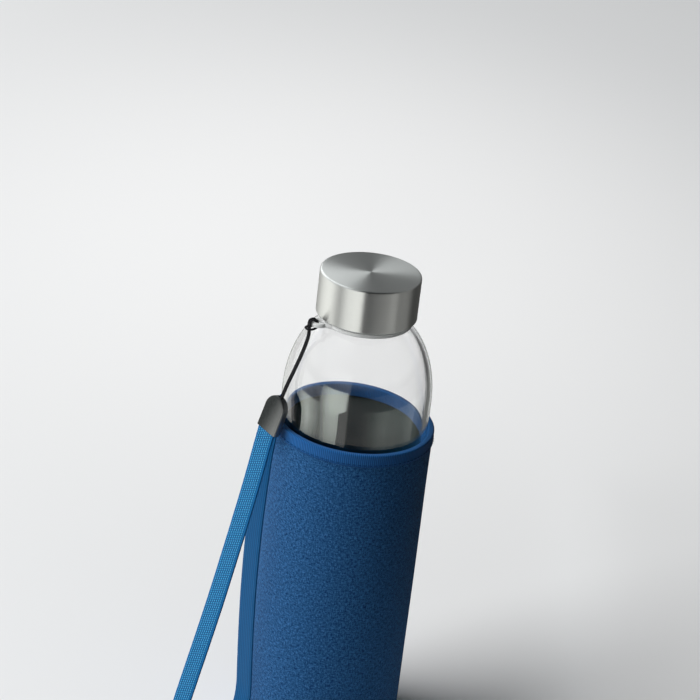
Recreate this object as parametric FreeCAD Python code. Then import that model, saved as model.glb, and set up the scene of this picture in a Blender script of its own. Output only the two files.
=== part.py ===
import FreeCAD, Part
import math
import os

# Glass water bottle with a screw cap, a padded cloth sleeve and a wrist strap.
# Millimetres. +Z is up along the bottle's axis, and the origin is the centre of the
# sleeve's underside, which stands on the table. -Y is the front.

# ---- driving dimensions ------------------------------------------------------------

GLASS_RADIUS = 32.0
GLASS_WALL = 2.2
GLASS_BOTTOM_Z = 3.05
LIP_Z = 219.5
NECK_RADIUS = 17.0
MOUTH_RADIUS = 14.5
SHOULDER_Z = 166.5            # where the straight side turns into the shoulder
SHOULDER_WIDTH = 22.0         # half axes of the elliptical shoulder
SHOULDER_HEIGHT = 36.4

THREAD_LEAD = 8.0             # rise for one turn of the two-start thread
THREAD_STARTS = 2
THREAD_HEIGHT = 1.2
THREAD_FOOT = 1.6             # ridge width where it meets the wall
THREAD_CREST = 0.8
THREAD_BITE = 0.4             # how deep a ridge is sunk into the wall that carries it
THREAD_BOTTOM_Z = 206.6       # where the bottle's ridges begin
THREAD_GAP = 0.35             # between the ridges' crests and the wall that faces them

SEAL_ROOM = 1.5               # between the lip and the liner's ceiling
SEAL_GAP = 0.1

CAP_RADIUS = 21.45
CAP_BOTTOM_Z = 204.0
CAP_TOP_Z = 223.0
CAP_SHEET = 0.5
CAP_EDGE_ROUND = 0.8
CAP_CURL = 1.0                # width of the rim that is rolled in under the liner

RING_BOTTOM_Z = 201.2
RING_THICKNESS = 2.0
RING_BORE = 17.35
RING_RADIUS = 19.8
EYELET_ANGLE = 211.0          # degrees from +X, where the eyelet points
EYELET_CENTRE = 22.3          # from the bottle's axis
EYELET_RADIUS = 3.8
EYELET_HOLE = 2.1

SLEEVE_TOP_Z = 154.4
LINING_BORE = 32.8
LINING_THICKNESS = 0.3
FOAM_THICKNESS = 0.85
COVER_THICKNESS = 0.45
GLUE_GAP = 0.05
BINDING_BORE = 32.35
BINDING_RADIUS = 34.95
BINDING_TAPE = 0.4
BINDING_DEPTH = 5.6
SEAM_WIDTH = 3.0
SEAM_PROUD = 0.3
BASE_COVER = 0.5
BASE_FOAM = 1.75
BASE_LINING = 0.4

CORD_RADIUS = 0.5
STRAP_WIDTH = 9.8
STRAP_THICKNESS = 1.2
STRAP_PLANE_ANGLE = 225.0     # degrees from +X, the upright plane that the loop hangs in
CLIP_FOOT = FreeCAD.Vector(-35.4, -18.9, 153.5)
CLIP_HEAD = FreeCAD.Vector(-31.4, -17.8, 169.0)
CLIP_WIDTH = 11.7
CLIP_THICKNESS = 3.6
CLIP_WALL = 0.45
KNOT_RADIUS = 1.25
KNOT_DEPTH = 4.9              # below the top of the clip

# The black cord, from the knot in the clip up to the eyelet, through it in a lark's head
# and back down. Each point is (distance from the bottle's axis, sideways, height), in the
# upright plane through the eyelet.
CORD_ROUTE = [
    (37.00, -1.20, 165.0),
    (35.00, -1.15, 172.0),
    (31.50, -0.90, 181.0),
    (28.15, -0.72, 190.0),
    (26.35, -0.60, 197.0),
    (26.75, -0.58, 200.6),
    (26.80, -0.68, 204.1),
    (23.35, -1.00, 204.1),
    (23.35, -1.15, 200.3),
    (28.05, -2.10, 200.3),
    (28.05, 2.10, 200.35),
    (23.35, 1.15, 200.35),
    (23.35, 1.00, 204.15),
    (26.80, 0.68, 204.15),
    (26.75, 0.58, 200.6),
    (26.35, 0.50, 197.0),
    (28.15, 0.38, 190.0),
    (31.50, 0.20, 181.0),
    (35.00, -0.05, 172.0),
    (37.00, -0.10, 165.0),
]

# The woven wrist strap, from its inner end in the clip round the loop to its outer end.
# Each point is (distance outward from the clip's foot, height), in the strap's plane.
STRAP_ROUTE = [
    (-1.85, 158.6),
    (0.10, 149.0),
    (1.50, 128.0),
    (2.30, 102.0),
    (1.90, 73.0),
    (0.10, 42.0),
    (-2.20, 14.5),
    (6.00, 3.3),
    (19.60, 0.1),
    (32.00, 6.4),
    (37.40, 19.2),
    (30.20, 43.0),
    (20.90, 73.5),
    (13.50, 101.0),
    (6.60, 127.5),
    (1.75, 149.5),
    (-0.45, 158.6),
]

# ---- shared geometry ---------------------------------------------------------------

AXIS = FreeCAD.Vector(0, 0, 1)
ORIGIN = FreeCAD.Vector(0, 0, 0)


def at(radius, z):
    """A point of an outline that is turned about the bottle's axis."""
    return FreeCAD.Vector(radius, 0, z)


def line(start, end):
    return Part.LineSegment(start, end).toShape()


def arc(start, middle, end):
    return Part.Arc(start, middle, end).toShape()


def turned(edges):
    """The solid that a closed outline sweeps in one full turn about the axis."""
    face = Part.Face(Part.Wire(edges))
    return face.revolve(ORIGIN, AXIS, 360)


def tube(inner, outer, bottom, top):
    """An upright tube, or a disc when inner is 0."""
    solid = Part.makeCylinder(outer, top - bottom, FreeCAD.Vector(0, 0, bottom))
    if inner > 0:
        bore = Part.makeCylinder(inner, top - bottom + 2, FreeCAD.Vector(0, 0, bottom - 1))
        solid = solid.cut(bore)
    return solid


def spun(shape, degrees):
    """The shape turned about the bottle's axis."""
    copy = shape.copy()
    copy.rotate(ORIGIN, AXIS, degrees)
    return copy


def rounded_route(points, name):
    """Straight runs joined by tangent arcs, each as large as its two runs allow."""
    share = 0.45
    edges = []
    radii = []
    last = points[0]
    for before, corner, after in zip(points, points[1:], points[2:]):
        back = (before - corner).normalize()
        forward = (after - corner).normalize()
        half_turn = (math.pi - back.getAngle(forward)) / 2
        reach = share * min((before - corner).Length, (after - corner).Length)
        radius = reach / math.tan(half_turn)
        start = corner + back * reach
        end = corner + forward * reach
        inward = (back + forward).normalize()
        middle = corner + inward * (radius / math.cos(half_turn) - radius)
        edges.append(line(last, start))
        edges.append(arc(start, middle, end))
        radii.append(round(radius, 1))
        last = end
    edges.append(line(last, points[-1]))
    print(name, "bend radii", radii)
    return Part.Wire(edges)


def swept(route, profile, area, name):
    """A closed profile carried along a route. Prints how well its volume agrees."""
    solid = route.makePipeShell([profile], True, False)
    print(name, "length", round(route.Length, 1), "volume over section x length",
          round(solid.Volume / (area * route.Length), 4))
    return solid


def thread_ridges(wall, crest, bottom, turns, first_angle):
    """The helical ridges of a two-start thread. crest is outside wall on a male thread."""
    side = 1 if crest > wall else -1
    foot = wall - side * THREAD_BITE
    outline = Part.makePolygon([
        at(foot, -THREAD_FOOT / 2),
        at(crest, -THREAD_CREST / 2),
        at(crest, THREAD_CREST / 2),
        at(foot, THREAD_FOOT / 2),
        at(foot, -THREAD_FOOT / 2),
    ])
    spine = Part.Wire(Part.makeHelix(THREAD_LEAD, THREAD_LEAD * turns, wall).Edges)
    ridge = spine.makePipeShell([Part.Wire(outline.Edges)], True, True)
    ridge.translate(FreeCAD.Vector(0, 0, bottom))
    step = 360 / THREAD_STARTS
    return [spun(ridge, first_angle + step * n) for n in range(THREAD_STARTS)]


# ---- the glass bottle --------------------------------------------------------------

def shoulder_arc(radius, width, height, neck):
    """The elliptical shoulder, from the straight side up to where it meets the neck.
    Returns the edge and the height at which it ends."""
    centre = at(radius - width, SHOULDER_Z)
    ellipse = Part.Ellipse(centre + at(0, height), centre + at(width, 0), centre)
    rise = height * math.sqrt(1 - ((neck - centre.x) / width) ** 2)
    top = at(neck, SHOULDER_Z + rise)
    side = at(radius, SHOULDER_Z)
    ends = sorted([ellipse.parameter(side), ellipse.parameter(top)])
    return Part.ArcOfEllipse(ellipse, ends[0], ends[1]).toShape(), top.z


def glass_body():
    heel = 6.0
    foot_outer = GLASS_RADIUS - heel
    foot_inner = 22.0
    push_up = 2.6
    floor = 5.5
    lip_round = 1.0
    shoulder, neck_z = shoulder_arc(GLASS_RADIUS, SHOULDER_WIDTH, SHOULDER_HEIGHT,
                                    NECK_RADIUS)
    bottom = GLASS_BOTTOM_Z
    bend = heel * (1 - math.sqrt(0.5))
    lip_bend = lip_round * (1 - math.sqrt(0.5))
    outer = turned([
        arc(at(0, bottom + push_up), at(foot_inner / 2, bottom + push_up * 0.75),
            at(foot_inner, bottom)),
        line(at(foot_inner, bottom), at(foot_outer, bottom)),
        arc(at(foot_outer, bottom), at(GLASS_RADIUS - bend, bottom + bend),
            at(GLASS_RADIUS, bottom + heel)),
        line(at(GLASS_RADIUS, bottom + heel), at(GLASS_RADIUS, SHOULDER_Z)),
        shoulder,
        line(at(NECK_RADIUS, neck_z), at(NECK_RADIUS, LIP_Z - lip_round)),
        arc(at(NECK_RADIUS, LIP_Z - lip_round),
            at(NECK_RADIUS - lip_bend, LIP_Z - lip_bend),
            at(NECK_RADIUS - lip_round, LIP_Z)),
        line(at(NECK_RADIUS - lip_round, LIP_Z), at(0, LIP_Z)),
        line(at(0, LIP_Z), at(0, bottom + push_up)),
    ])

    inside = GLASS_RADIUS - GLASS_WALL
    inner_shoulder, bore_z = shoulder_arc(inside, SHOULDER_WIDTH - GLASS_WALL,
                                          SHOULDER_HEIGHT - GLASS_WALL, MOUTH_RADIUS)
    inner_floor = bottom + floor
    inner = turned([
        arc(at(0, inner_floor + push_up), at((inside - heel) / 2, inner_floor + push_up * 0.75),
            at(inside - heel, inner_floor)),
        arc(at(inside - heel, inner_floor), at(inside - bend, inner_floor + bend),
            at(inside, inner_floor + heel)),
        line(at(inside, inner_floor + heel), at(inside, SHOULDER_Z)),
        inner_shoulder,
        line(at(MOUTH_RADIUS, bore_z), at(MOUTH_RADIUS, LIP_Z + 1)),
        line(at(MOUTH_RADIUS, LIP_Z + 1), at(0, LIP_Z + 1)),
        line(at(0, LIP_Z + 1), at(0, inner_floor + push_up)),
    ])
    print("brimful volume", round(inner.Volume / 1000), "ml")
    ridges = thread_ridges(NECK_RADIUS, NECK_RADIUS + THREAD_HEIGHT, THREAD_BOTTOM_Z,
                           1.1, 0)
    return outer.cut(inner).fuse(ridges)


# ---- the screw cap -----------------------------------------------------------------

def cap_shell():
    outer = tube(0, CAP_RADIUS, CAP_BOTTOM_Z, CAP_TOP_Z)
    rim = [edge for edge in outer.Edges if edge.CenterOfMass.z > CAP_TOP_Z - 0.01]
    outer = outer.makeFillet(CAP_EDGE_ROUND, rim[:1])
    inner_radius = CAP_RADIUS - CAP_SHEET
    hollow = tube(0, inner_radius, CAP_BOTTOM_Z + CAP_SHEET, CAP_TOP_Z - CAP_SHEET)
    mouth = tube(0, CAP_RADIUS - CAP_CURL, CAP_BOTTOM_Z - 1, CAP_BOTTOM_Z + 1)
    return outer.cut(hollow).cut(mouth)


def cap_liner():
    wall_bore = NECK_RADIUS + THREAD_HEIGHT + THREAD_GAP
    outer_radius = CAP_RADIUS - CAP_SHEET - GLUE_GAP
    bottom = CAP_BOTTOM_Z + CAP_SHEET + GLUE_GAP
    top = CAP_TOP_Z - CAP_SHEET - GLUE_GAP
    ceiling = LIP_Z + SEAL_ROOM
    cup = tube(0, outer_radius, bottom, top).cut(tube(0, wall_bore, bottom - 1, ceiling))
    ridges = thread_ridges(wall_bore, wall_bore - THREAD_HEIGHT,
                           THREAD_BOTTOM_Z + THREAD_LEAD / THREAD_STARTS / 2, 0.85, 0)
    return cup.fuse(ridges)


def cap_seal():
    overhang = 0.4
    return tube(MOUTH_RADIUS + 0.3, NECK_RADIUS + overhang, LIP_Z + SEAL_GAP,
                LIP_Z + SEAL_ROOM - SEAL_GAP)


# ---- the strap ring ----------------------------------------------------------------

def strap_ring():
    edge_round = 0.6
    root_half_width = 7.0
    thick = RING_THICKNESS
    top = RING_BOTTOM_Z + thick
    base = FreeCAD.Vector(0, 0, RING_BOTTOM_Z)
    waist = FreeCAD.Vector(EYELET_CENTRE - 1.0, EYELET_RADIUS * 0.97, RING_BOTTOM_Z)
    root = FreeCAD.Vector(RING_BORE, root_half_width, RING_BOTTOM_Z)
    mirror = [FreeCAD.Vector(p.x, -p.y, p.z) for p in (waist, root)]
    web = Part.Face(Part.makePolygon([root, waist, mirror[0], mirror[1], root]))
    ring = tube(0, RING_RADIUS, RING_BOTTOM_Z, top)
    eye = Part.makeCylinder(EYELET_RADIUS, thick, base + FreeCAD.Vector(EYELET_CENTRE, 0, 0))
    shape = ring.fuse([eye, web.extrude(AXIS * thick)]).removeSplitter()
    shape = shape.cut(tube(0, RING_BORE, RING_BOTTOM_Z - 1, top + 1))
    hole = Part.makeCylinder(EYELET_HOLE, thick + 2,
                             FreeCAD.Vector(EYELET_CENTRE, 0, RING_BOTTOM_Z - 1))
    shape = shape.cut(hole)
    flat = [edge for edge in shape.Edges
            if edge.BoundBox.ZLength < 0.01 and edge.BoundBox.XMax > RING_BORE + 0.5]
    shape = shape.makeFillet(edge_round, flat)
    return spun(shape, EYELET_ANGLE)


# ---- the sleeve --------------------------------------------------------------------

def sleeve_layers():
    """Bore and outer radius of the lining, the foam and the cover, inside to outside."""
    radii = []
    bore = LINING_BORE
    for thickness in (LINING_THICKNESS, FOAM_THICKNESS, COVER_THICKNESS):
        radii.append((bore, bore + thickness))
        bore += thickness + GLUE_GAP
    return radii


def sleeve_wall(layer):
    bore, radius = sleeve_layers()[layer]
    return tube(bore, radius, BASE_COVER + GLUE_GAP, SLEEVE_TOP_Z)


def top_binding():
    """Tape folded over the sleeve's top edge: an upside-down U, turned about the axis."""
    top = SLEEVE_TOP_Z + GLUE_GAP + BINDING_TAPE
    bottom = top - BINDING_DEPTH
    fold = 0.35
    body = tube(BINDING_BORE, BINDING_RADIUS, bottom, top)
    crown = [edge for edge in body.Edges
             if edge.BoundBox.ZMin > top - 0.01 and edge.BoundBox.ZLength < 0.01]
    body = body.makeFillet(fold, crown)
    slot = tube(LINING_BORE - GLUE_GAP, BINDING_RADIUS - BINDING_TAPE, bottom - 1,
                SLEEVE_TOP_Z + GLUE_GAP)
    return body.cut(slot)


def thread_ring(radius, z):
    """A line of sewing thread round the sleeve, as one thin ring."""
    thread = 0.18
    return Part.makeTorus(radius + thread, thread, FreeCAD.Vector(0, 0, z), AXIS)


def cover_radius():
    return sleeve_layers()[2][1]


def binding_stitching():
    z = SLEEVE_TOP_Z + GLUE_GAP + BINDING_TAPE - BINDING_DEPTH + 1.0
    return thread_ring(BINDING_RADIUS + GLUE_GAP, z)


def base_stitching():
    return thread_ring(cover_radius() + GLUE_GAP, 2.2)


def side_seam():
    """The flat seam that closes the sleeve's tube, up its back."""
    radius = cover_radius() + GLUE_GAP
    skin = tube(radius, radius + SEAM_PROUD, 4.0, SLEEVE_TOP_Z - BINDING_DEPTH - 0.5)
    strip = Part.makeBox(SEAM_WIDTH, 10, SLEEVE_TOP_Z,
                         FreeCAD.Vector(-SEAM_WIDTH / 2, cover_radius() - 5, 0))
    return skin.common(strip)


def base_cover():
    return tube(0, cover_radius(), 0, BASE_COVER)


def base_foam():
    bottom = BASE_COVER + GLUE_GAP
    return tube(0, LINING_BORE - GLUE_GAP, bottom, bottom + BASE_FOAM)


def base_lining():
    bottom = BASE_COVER + BASE_FOAM + 2 * GLUE_GAP
    return tube(0, LINING_BORE - GLUE_GAP, bottom, bottom + BASE_LINING)


# ---- the wrist lanyard -------------------------------------------------------------

def lanyard_cord():
    points = [spun(Part.Vertex(FreeCAD.Vector(*p)), EYELET_ANGLE).Point for p in CORD_ROUTE]
    route = rounded_route(points, "cord")
    section = Part.Wire(Part.makeCircle(CORD_RADIUS, points[0], points[1] - points[0]))
    return swept(route, section, math.pi * CORD_RADIUS ** 2, "cord")


def wrist_strap():
    points = [FreeCAD.Vector(out, 0, z) for out, z in STRAP_ROUTE]
    route = rounded_route(points, "strap")
    along = (points[1] - points[0]).normalize()
    across = along.cross(FreeCAD.Vector(0, 1, 0)).normalize() * (STRAP_THICKNESS / 2)
    wide = FreeCAD.Vector(0, STRAP_WIDTH / 2, 0)
    corners = [across + wide, across - wide, -across - wide, -across + wide, across + wide]
    section = Part.makePolygon([points[0] + corner for corner in corners])
    solid = swept(route, section, STRAP_THICKNESS * STRAP_WIDTH, "strap")
    solid = spun(solid, STRAP_PLANE_ANGLE)
    solid.translate(FreeCAD.Vector(CLIP_FOOT.x, CLIP_FOOT.y, 0))
    return solid


def in_clip(shape):
    """Puts a shape drawn at the origin, width along X and height along Z, on the clip."""
    up = (CLIP_HEAD - CLIP_FOOT).normalize()
    wide = FreeCAD.Vector(1, -1, 0)
    turn = FreeCAD.Rotation(wide, up.cross(wide), up, "ZXY")
    copy = shape.copy()
    copy.Placement = FreeCAD.Placement(CLIP_FOOT, turn)
    return copy


def clip_height():
    return (CLIP_HEAD - CLIP_FOOT).Length


def cord_clip():
    """A pressed metal end clip with an arched top, open below for the strap's two ends."""
    wall = CLIP_WALL
    pocket_top = 9.0
    edge_round = 0.9
    knot_room_radius = 1.9
    slot_width = 2.7
    slot_depth = 1.6
    arch = CLIP_WIDTH / 2
    height = clip_height()
    spring = height - arch
    half = CLIP_WIDTH / 2
    front = Part.Face(Part.Wire([
        line(at(-half, 0), at(half, 0)),
        line(at(half, 0), at(half, spring)),
        arc(at(half, spring), at(0, height), at(-half, spring)),
        line(at(-half, spring), at(-half, 0)),
    ]))
    body = front.extrude(FreeCAD.Vector(0, CLIP_THICKNESS, 0))
    body.translate(FreeCAD.Vector(0, -CLIP_THICKNESS / 2, 0))
    edges = [edge for edge in body.Edges if edge.BoundBox.YLength < 0.01
             and edge.BoundBox.ZMax > 0.01]
    body = body.makeFillet(edge_round, edges)
    pocket = Part.makeBox(CLIP_WIDTH - 2 * wall, CLIP_THICKNESS - 2 * wall, pocket_top + 1,
                          FreeCAD.Vector(wall - half, wall - CLIP_THICKNESS / 2, -1))
    knot_room = Part.makeCylinder(knot_room_radius, 5.0,
                                  FreeCAD.Vector(0, 0, pocket_top - 1))
    knot_room = knot_room.common(Part.makeBox(4, CLIP_THICKNESS - 2 * wall, 9,
                                 FreeCAD.Vector(-2, wall - CLIP_THICKNESS / 2, 8)))
    slot = Part.makeBox(slot_width, slot_depth, height,
                        FreeCAD.Vector(-slot_width / 2, -slot_depth / 2, pocket_top))
    return in_clip(body.cut(pocket).cut(knot_room).cut(slot))


def cord_knot():
    """The knot that holds both ends of the cord inside the clip."""
    return in_clip(Part.makeSphere(KNOT_RADIUS,
                                   FreeCAD.Vector(0, 0, clip_height() - KNOT_DEPTH)))


# ---- the pieces --------------------------------------------------------------------

PIECES = {
    "glass_body": glass_body,
    "cap_shell": cap_shell,
    "cap_liner": cap_liner,
    "cap_seal": cap_seal,
    "strap_ring": strap_ring,
    "lanyard_cord": lanyard_cord,
    "cord_knot": cord_knot,
    "cord_clip": cord_clip,
    "wrist_strap": wrist_strap,
    "sleeve_lining": lambda: sleeve_wall(0),
    "sleeve_foam": lambda: sleeve_wall(1),
    "sleeve_cover": lambda: sleeve_wall(2),
    "top_binding": top_binding,
    "binding_stitching": binding_stitching,
    "side_seam": side_seam,
    "base_cover": base_cover,
    "base_foam": base_foam,
    "base_lining": base_lining,
    "base_stitching": base_stitching,
}

os.makedirs("parts", exist_ok=True)
for name, make in PIECES.items():
    shape = make()
    box = shape.BoundBox
    print(name, "valid" if shape.isValid() else "NOT VALID", len(shape.Solids), "solid",
          "z", round(box.ZMin, 2), "to", round(box.ZMax, 2), "volume", round(shape.Volume, 1))
    shape.exportStep("parts/" + name + ".step")
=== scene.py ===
import math

import bpy
import bmesh
import numpy as np
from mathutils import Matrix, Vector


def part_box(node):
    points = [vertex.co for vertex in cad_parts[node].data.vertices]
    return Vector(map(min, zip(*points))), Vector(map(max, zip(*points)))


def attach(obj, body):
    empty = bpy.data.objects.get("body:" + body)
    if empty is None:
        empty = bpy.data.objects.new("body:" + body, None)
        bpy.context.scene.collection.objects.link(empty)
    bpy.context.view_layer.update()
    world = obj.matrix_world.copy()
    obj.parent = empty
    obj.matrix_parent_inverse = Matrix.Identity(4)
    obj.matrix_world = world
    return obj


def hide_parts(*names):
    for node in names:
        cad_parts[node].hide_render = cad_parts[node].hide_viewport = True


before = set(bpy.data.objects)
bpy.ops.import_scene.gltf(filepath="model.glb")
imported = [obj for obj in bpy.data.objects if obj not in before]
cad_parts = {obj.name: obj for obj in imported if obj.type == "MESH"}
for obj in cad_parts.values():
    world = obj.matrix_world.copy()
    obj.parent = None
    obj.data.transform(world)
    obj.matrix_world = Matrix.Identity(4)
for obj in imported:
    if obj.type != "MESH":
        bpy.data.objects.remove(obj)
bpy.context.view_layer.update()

# ---- Camera ----------------------------------------------------------------------------
# A long lens about a metre off, looking down on the cap, held a few degrees off level. The
# bottle stands at the origin, and the camera is on its -Y side.

CAMERA_PLACE = (0.0, -0.8999, 0.6054)
CAMERA_YAW = -0.0056
CAMERA_PITCH = 0.436
CAMERA_ROLL = 0.1167
CAMERA_LENS = 120.6

camera = bpy.data.objects.new("camera", bpy.data.cameras.new("camera"))
bpy.context.scene.collection.objects.link(camera)
camera.data.sensor_width = 36.0
camera.data.lens = CAMERA_LENS
camera.rotation_mode = "XYZ"
camera.location = CAMERA_PLACE
camera.rotation_euler = (math.pi / 2 - CAMERA_PITCH, 0.0, -CAMERA_YAW)
camera.rotation_euler = (
    camera.rotation_euler.to_matrix() @ Matrix.Rotation(CAMERA_ROLL, 3, "Z")
).to_euler()
bpy.context.scene.camera = camera
bpy.context.scene.view_settings.view_transform = "Standard"


# ---- Lanyard cord ----------------------------------------------------------------------
# A black braided cord a millimetre thick. It is looped to the ring's eyelet in a lark's
# head, and both of its ends are knotted inside the metal clip.

CORD_THICKNESS = 0.001
CORD_STRANDS = 4
CORD_LAY = 0.0016
EYELET_TURN = math.radians(211.0)
CORD_ROUTE = [
    (0.03700, -0.00120, 0.1650),
    (0.03500, -0.00115, 0.1720),
    (0.03150, -0.00090, 0.1810),
    (0.02815, -0.00072, 0.1900),
    (0.02635, -0.00060, 0.1970),
    (0.02675, -0.00058, 0.2006),
    (0.02680, -0.00068, 0.2041),
    (0.02335, -0.00100, 0.2041),
    (0.02335, -0.00115, 0.2003),
    (0.02805, -0.00210, 0.2003),
    (0.02805, 0.00210, 0.20035),
    (0.02335, 0.00115, 0.20035),
    (0.02335, 0.00100, 0.20415),
    (0.02680, 0.00068, 0.20415),
    (0.02675, 0.00058, 0.2006),
    (0.02635, 0.00050, 0.1970),
    (0.02815, 0.00038, 0.1900),
    (0.03150, 0.00020, 0.1810),
    (0.03500, -0.00005, 0.1720),
    (0.03700, -0.00010, 0.1650),
]


def about_axis(points, angle):
    """Points turned about the bottle's axis by angle, as whole arrays."""
    points = np.asarray(points, float)
    c, s = math.cos(angle), math.sin(angle)
    x, y, z = points[..., 0], points[..., 1], points[..., 2]
    return np.stack([x * c - y * s, x * s + y * c, z], axis=-1)


def smooth_route(name, points):
    """Points along the quadratic NURBS line that has these control points."""
    curve = bpy.data.curves.new(name, "CURVE")
    curve.dimensions = "3D"
    curve.resolution_u = 24
    spline = curve.splines.new("NURBS")
    spline.points.add(len(points) - 1)
    spline.points.foreach_set("co", np.c_[points, np.ones(len(points))].ravel())
    spline.order_u = 3
    spline.use_endpoint_u = True
    holder = bpy.data.objects.new(name, curve)
    bpy.context.scene.collection.objects.link(holder)
    bare = bpy.data.meshes.new_from_object(holder)
    line = np.zeros(len(bare.vertices) * 3)
    bare.vertices.foreach_get("co", line)
    bpy.data.objects.remove(holder)
    bpy.data.meshes.remove(bare)
    return line.reshape(-1, 3)


def along(line):
    """Distance travelled to each point of a line, in metres."""
    return np.r_[0.0, np.cumsum(np.linalg.norm(np.diff(line, axis=0), axis=1))]


def evenly(line, count):
    """The same line as count points at equal distances."""
    s = along(line)
    steps = np.linspace(0.0, s[-1], count)
    return np.stack([np.interp(steps, s, line[:, k]) for k in range(3)], axis=-1)


def unit(vectors):
    """Each vector divided by its own length."""
    return vectors / np.linalg.norm(vectors, axis=-1, keepdims=True)


def directions(line):
    """The way the line runs at each point, as unit vectors."""
    return unit(np.gradient(line, axis=0))


def piece_of(name, mesh, caps=()):
    """The mesh as a smooth-shaded object. Each cap, a row of point numbers, gets a face,
    then seams and poles are welded and all faces are turned outwards."""
    work = bmesh.new()
    work.from_mesh(mesh)
    work.verts.ensure_lookup_table()
    for cap in caps:
        work.faces.new([work.verts[k] for k in cap])
    bmesh.ops.remove_doubles(work, verts=work.verts, dist=1e-7)
    bmesh.ops.recalc_face_normals(work, faces=work.faces)
    work.to_mesh(mesh)
    work.free()
    mesh.shade_smooth()
    piece = bpy.data.objects.new(name, mesh)
    bpy.context.scene.collection.objects.link(piece)
    return piece


def surface(name, grid, wrap=True, uv=None, ends=False):
    """A piece over a grid of points, rows by columns, whose faces join four neighbours. wrap
    joins the last column to the first, uv is a pair of arrays like the grid, and ends closes
    the first and last row."""
    rows, columns = grid.shape[:2]
    r, c = np.meshgrid(np.arange(rows - 1), np.arange(columns if wrap else columns - 1),
                       indexing="ij")
    corners = [(r, c), (r, c + 1), (r + 1, c + 1), (r + 1, c)]
    faces = np.stack([a * columns + b % columns for a, b in corners], axis=-1)
    mesh = bpy.data.meshes.new(name)
    mesh.from_pydata(grid.reshape(-1, 3), [], faces.reshape(-1, 4))
    if uv is not None:
        across, down = uv
        across = np.concatenate([across, across[:, -1:] * 2 - across[:, -2:-1]], axis=1)
        down = np.concatenate([down, down[:, :1]], axis=1)
        places = np.stack([np.stack([across[a, b], down[a, b]], -1) for a, b in corners], -2)
        mesh.uv_layers.new(name="UVMap").data.foreach_set("uv", places.reshape(-1))
    last = (rows - 1) * columns
    first_row, last_row = range(columns), range(last + columns - 1, last - 1, -1)
    return piece_of(name, mesh, (first_row, last_row) if ends else ())


def frames(line):
    """Two unit directions square to the line at each point, carried along with no twist."""
    heading = directions(line)
    first = np.cross(heading[0], (0.3, 0.2, 1.0))
    side = np.zeros_like(line)
    side[0] = first / np.linalg.norm(first)
    for k in range(1, len(line)):
        carried = side[k - 1] - heading[k] * (side[k - 1] @ heading[k])
        side[k] = carried / np.linalg.norm(carried)
    return side, np.cross(heading, side)


class Wire:
    """A socket in a material. Sums, products and comparisons of wires add Math nodes."""

    def __init__(self, finish, socket):
        self.finish = finish
        self.socket = socket

    def math(self, operation, first, second=0.0):
        return self.finish.add("Math", {"operation": operation}, [first, second])

    def __add__(self, other):
        return self.math("ADD", self, other)

    def __sub__(self, other):
        return self.math("SUBTRACT", self, other)

    def __rsub__(self, other):
        return self.math("SUBTRACT", other, self)

    def __mul__(self, other):
        return self.math("MULTIPLY", self, other)

    def __gt__(self, other):
        return self.math("GREATER_THAN", self, other)

    def __abs__(self):
        return self.math("ABSOLUTE", self)

    def __pow__(self, other):
        return self.math("POWER", self, other)

    __radd__ = __add__
    __rmul__ = __mul__

    def part(self):
        """The fraction after whole numbers, for a pattern that repeats."""
        return self.math("FRACT", self)

    def wave(self):
        """The sine of the value, moved to lie between 0 and 1."""
        return self.math("SINE", self) * 0.5 + 0.5

    def clear(self, low, high):
        """0 below low, 1 above high and a smooth step between."""
        settings = {"interpolation_type": "SMOOTHSTEP"}
        return self.finish.add("MapRange", settings, {"Value": self, "From Min": low,
                                                      "From Max": high})


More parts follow.
